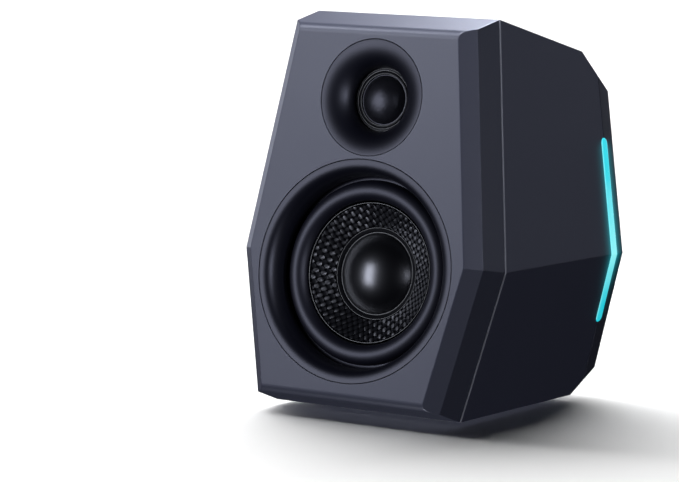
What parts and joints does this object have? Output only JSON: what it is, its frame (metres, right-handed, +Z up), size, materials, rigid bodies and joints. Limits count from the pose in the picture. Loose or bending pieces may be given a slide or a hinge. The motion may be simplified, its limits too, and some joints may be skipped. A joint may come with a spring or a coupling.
{
  "type": "bookshelf speaker",
  "caption": "Active two-way desktop speaker with a faceted, backward-leaning cabinet, woven woofer cone, dome tweeter, side light strips, rear bass port and rear controls",
  "frame": {"origin": "on the floor under the centre of the bounding box, at the underside of the feet", "axes": "+Z up, the front face looks along -Y, +X is to the right of a person facing the front"},
  "size_m": [0.1442, 0.174, 0.2023],
  "materials": {
    "bezel_plastic": "moulded, fine satin grain",
    "housing_plastic": "moulded, fine satin grain",
    "rear_plastic": "moulded, matte",
    "trim_plastic": "satin black",
    "woven_cone": "woven black fibre under clear resin",
    "gloss_black": "high gloss",
    "silk_dome": "coated silk, low sheen",
    "black_rubber": "matte rubber",
    "light_diffuser": "translucent, lit cyan",
    "painted_steel": "black powder coat",
    "zinc_steel": "zinc plated",
    "ferrite": "sintered, matte",
    "coil_wire": "enamelled copper",
    "spider_cloth": "phenolic-stiffened cloth",
    "wadding": "loose polyester wadding",
    "circuit_board": "solder mask",
    "bare_aluminium": "extruded",
    "panel_metal": "fine textured powder coat",
    "knob_plastic": "moulded, soft satin",
    "socket_plastic": "moulded",
    "lead_sheath": "PVC sheath"
  },
  "bodies": {
    "cabinet": {"amplifier_board": "circuit_board", "baffle_gasket": "black_rubber", "bass_potentiometer": "zinc_steel", "cabinet_shell": "housing_plastic", "control_panel": "panel_metal", "cover_screw_lower_left": "zinc_steel", "cover_screw_lower_right": "zinc_steel", "cover_screw_upper_left": "zinc_steel", "cover_screw_upper_right": "zinc_steel", "damping_pad": "wadding", "foot_front_left": "black_rubber", "foot_front_right": "black_rubber", "foot_rear_left": "black_rubber", "foot_rear_right": "black_rubber", "front_baffle": "bezel_plastic", "heat_sink": "bare_aluminium", "light_board_left": "circuit_board", "light_board_right": "circuit_board", "light_button_switch": "zinc_steel", "light_guide_left": "light_diffuser", "light_guide_right": "light_diffuser", "line_in_socket": "socket_plastic", "phono_sockets": "socket_plastic", "port_tube": "rear_plastic", "power_inlet": "socket_plastic", "power_switch_housing": "socket_plastic", "rear_cover": "rear_plastic", "speaker_link_socket": "socket_plastic", "treble_potentiometer": "zinc_steel", "tweeter_clamp_ring": "gloss_black", "tweeter_lead": "lead_sheath", "tweeter_magnet": "ferrite", "tweeter_surround": "silk_dome", "tweeter_top_plate": "zinc_steel", "tweeter_waveguide": "bezel_plastic", "tweeter_yoke": "zinc_steel", "usb_socket": "zinc_steel", "volume_potentiometer": "zinc_steel", "woofer_frame": "painted_steel", "woofer_lead": "lead_sheath", "woofer_magnet": "ferrite", "woofer_spider": "spider_cloth", "woofer_surround": "black_rubber", "woofer_top_plate": "zinc_steel", "woofer_trim_ring": "trim_plastic", "woofer_yoke": "zinc_steel"},
    "woofer_diaphragm": {"woofer_cone": "woven_cone", "woofer_dust_cap": "gloss_black", "woofer_voice_coil": "coil_wire"},
    "tweeter_diaphragm": {"tweeter_dome": "silk_dome", "tweeter_voice_coil": "coil_wire"},
    "volume_control": {"volume_knob": "knob_plastic", "volume_shaft": "zinc_steel"},
    "bass_control": {"bass_knob": "knob_plastic", "bass_shaft": "zinc_steel"},
    "treble_control": {"treble_knob": "knob_plastic", "treble_shaft": "zinc_steel"},
    "power_rocker": {"power_rocker": "gloss_black"},
    "light_button": {"light_button": "knob_plastic"}
  },
  "joints": [
    {"name": "woofer_excursion", "type": "slide", "parent": "cabinet", "child": "woofer_diaphragm", "axis": [0, -0.9903, 0.1392], "range_m": [-0.0035, 0.0035], "stiffness_N_per_m": 1000},
    {"name": "tweeter_excursion", "type": "slide", "parent": "cabinet", "child": "tweeter_diaphragm", "axis": [0, -0.9903, 0.1392], "range_m": [-0.0004, 0.0004], "stiffness_N_per_m": 1500},
    {"name": "volume_turn", "type": "hinge", "parent": "cabinet", "child": "volume_control", "pos_m": [0.029, 0.07605, 0.082], "axis": [0, 1, 0], "range_deg": [-150, 150]},
    {"name": "bass_turn", "type": "hinge", "parent": "cabinet", "child": "bass_control", "pos_m": [0, 0.07605, 0.082], "axis": [0, 1, 0], "range_deg": [-140, 140]},
    {"name": "treble_turn", "type": "hinge", "parent": "cabinet", "child": "treble_control", "pos_m": [-0.026, 0.07605, 0.082], "axis": [0, 1, 0], "range_deg": [-140, 140]},
    {"name": "power_rock", "type": "hinge", "parent": "cabinet", "child": "power_rocker", "pos_m": [0.028, 0.07204, 0.0355], "axis": [-1, 0, 0], "range_deg": [0, 18]},
    {"name": "light_button_press", "type": "slide", "parent": "cabinet", "child": "light_button", "axis": [0, -1, 0], "range_m": [0, 0.001], "stiffness_N_per_m": 400}
  ]
}
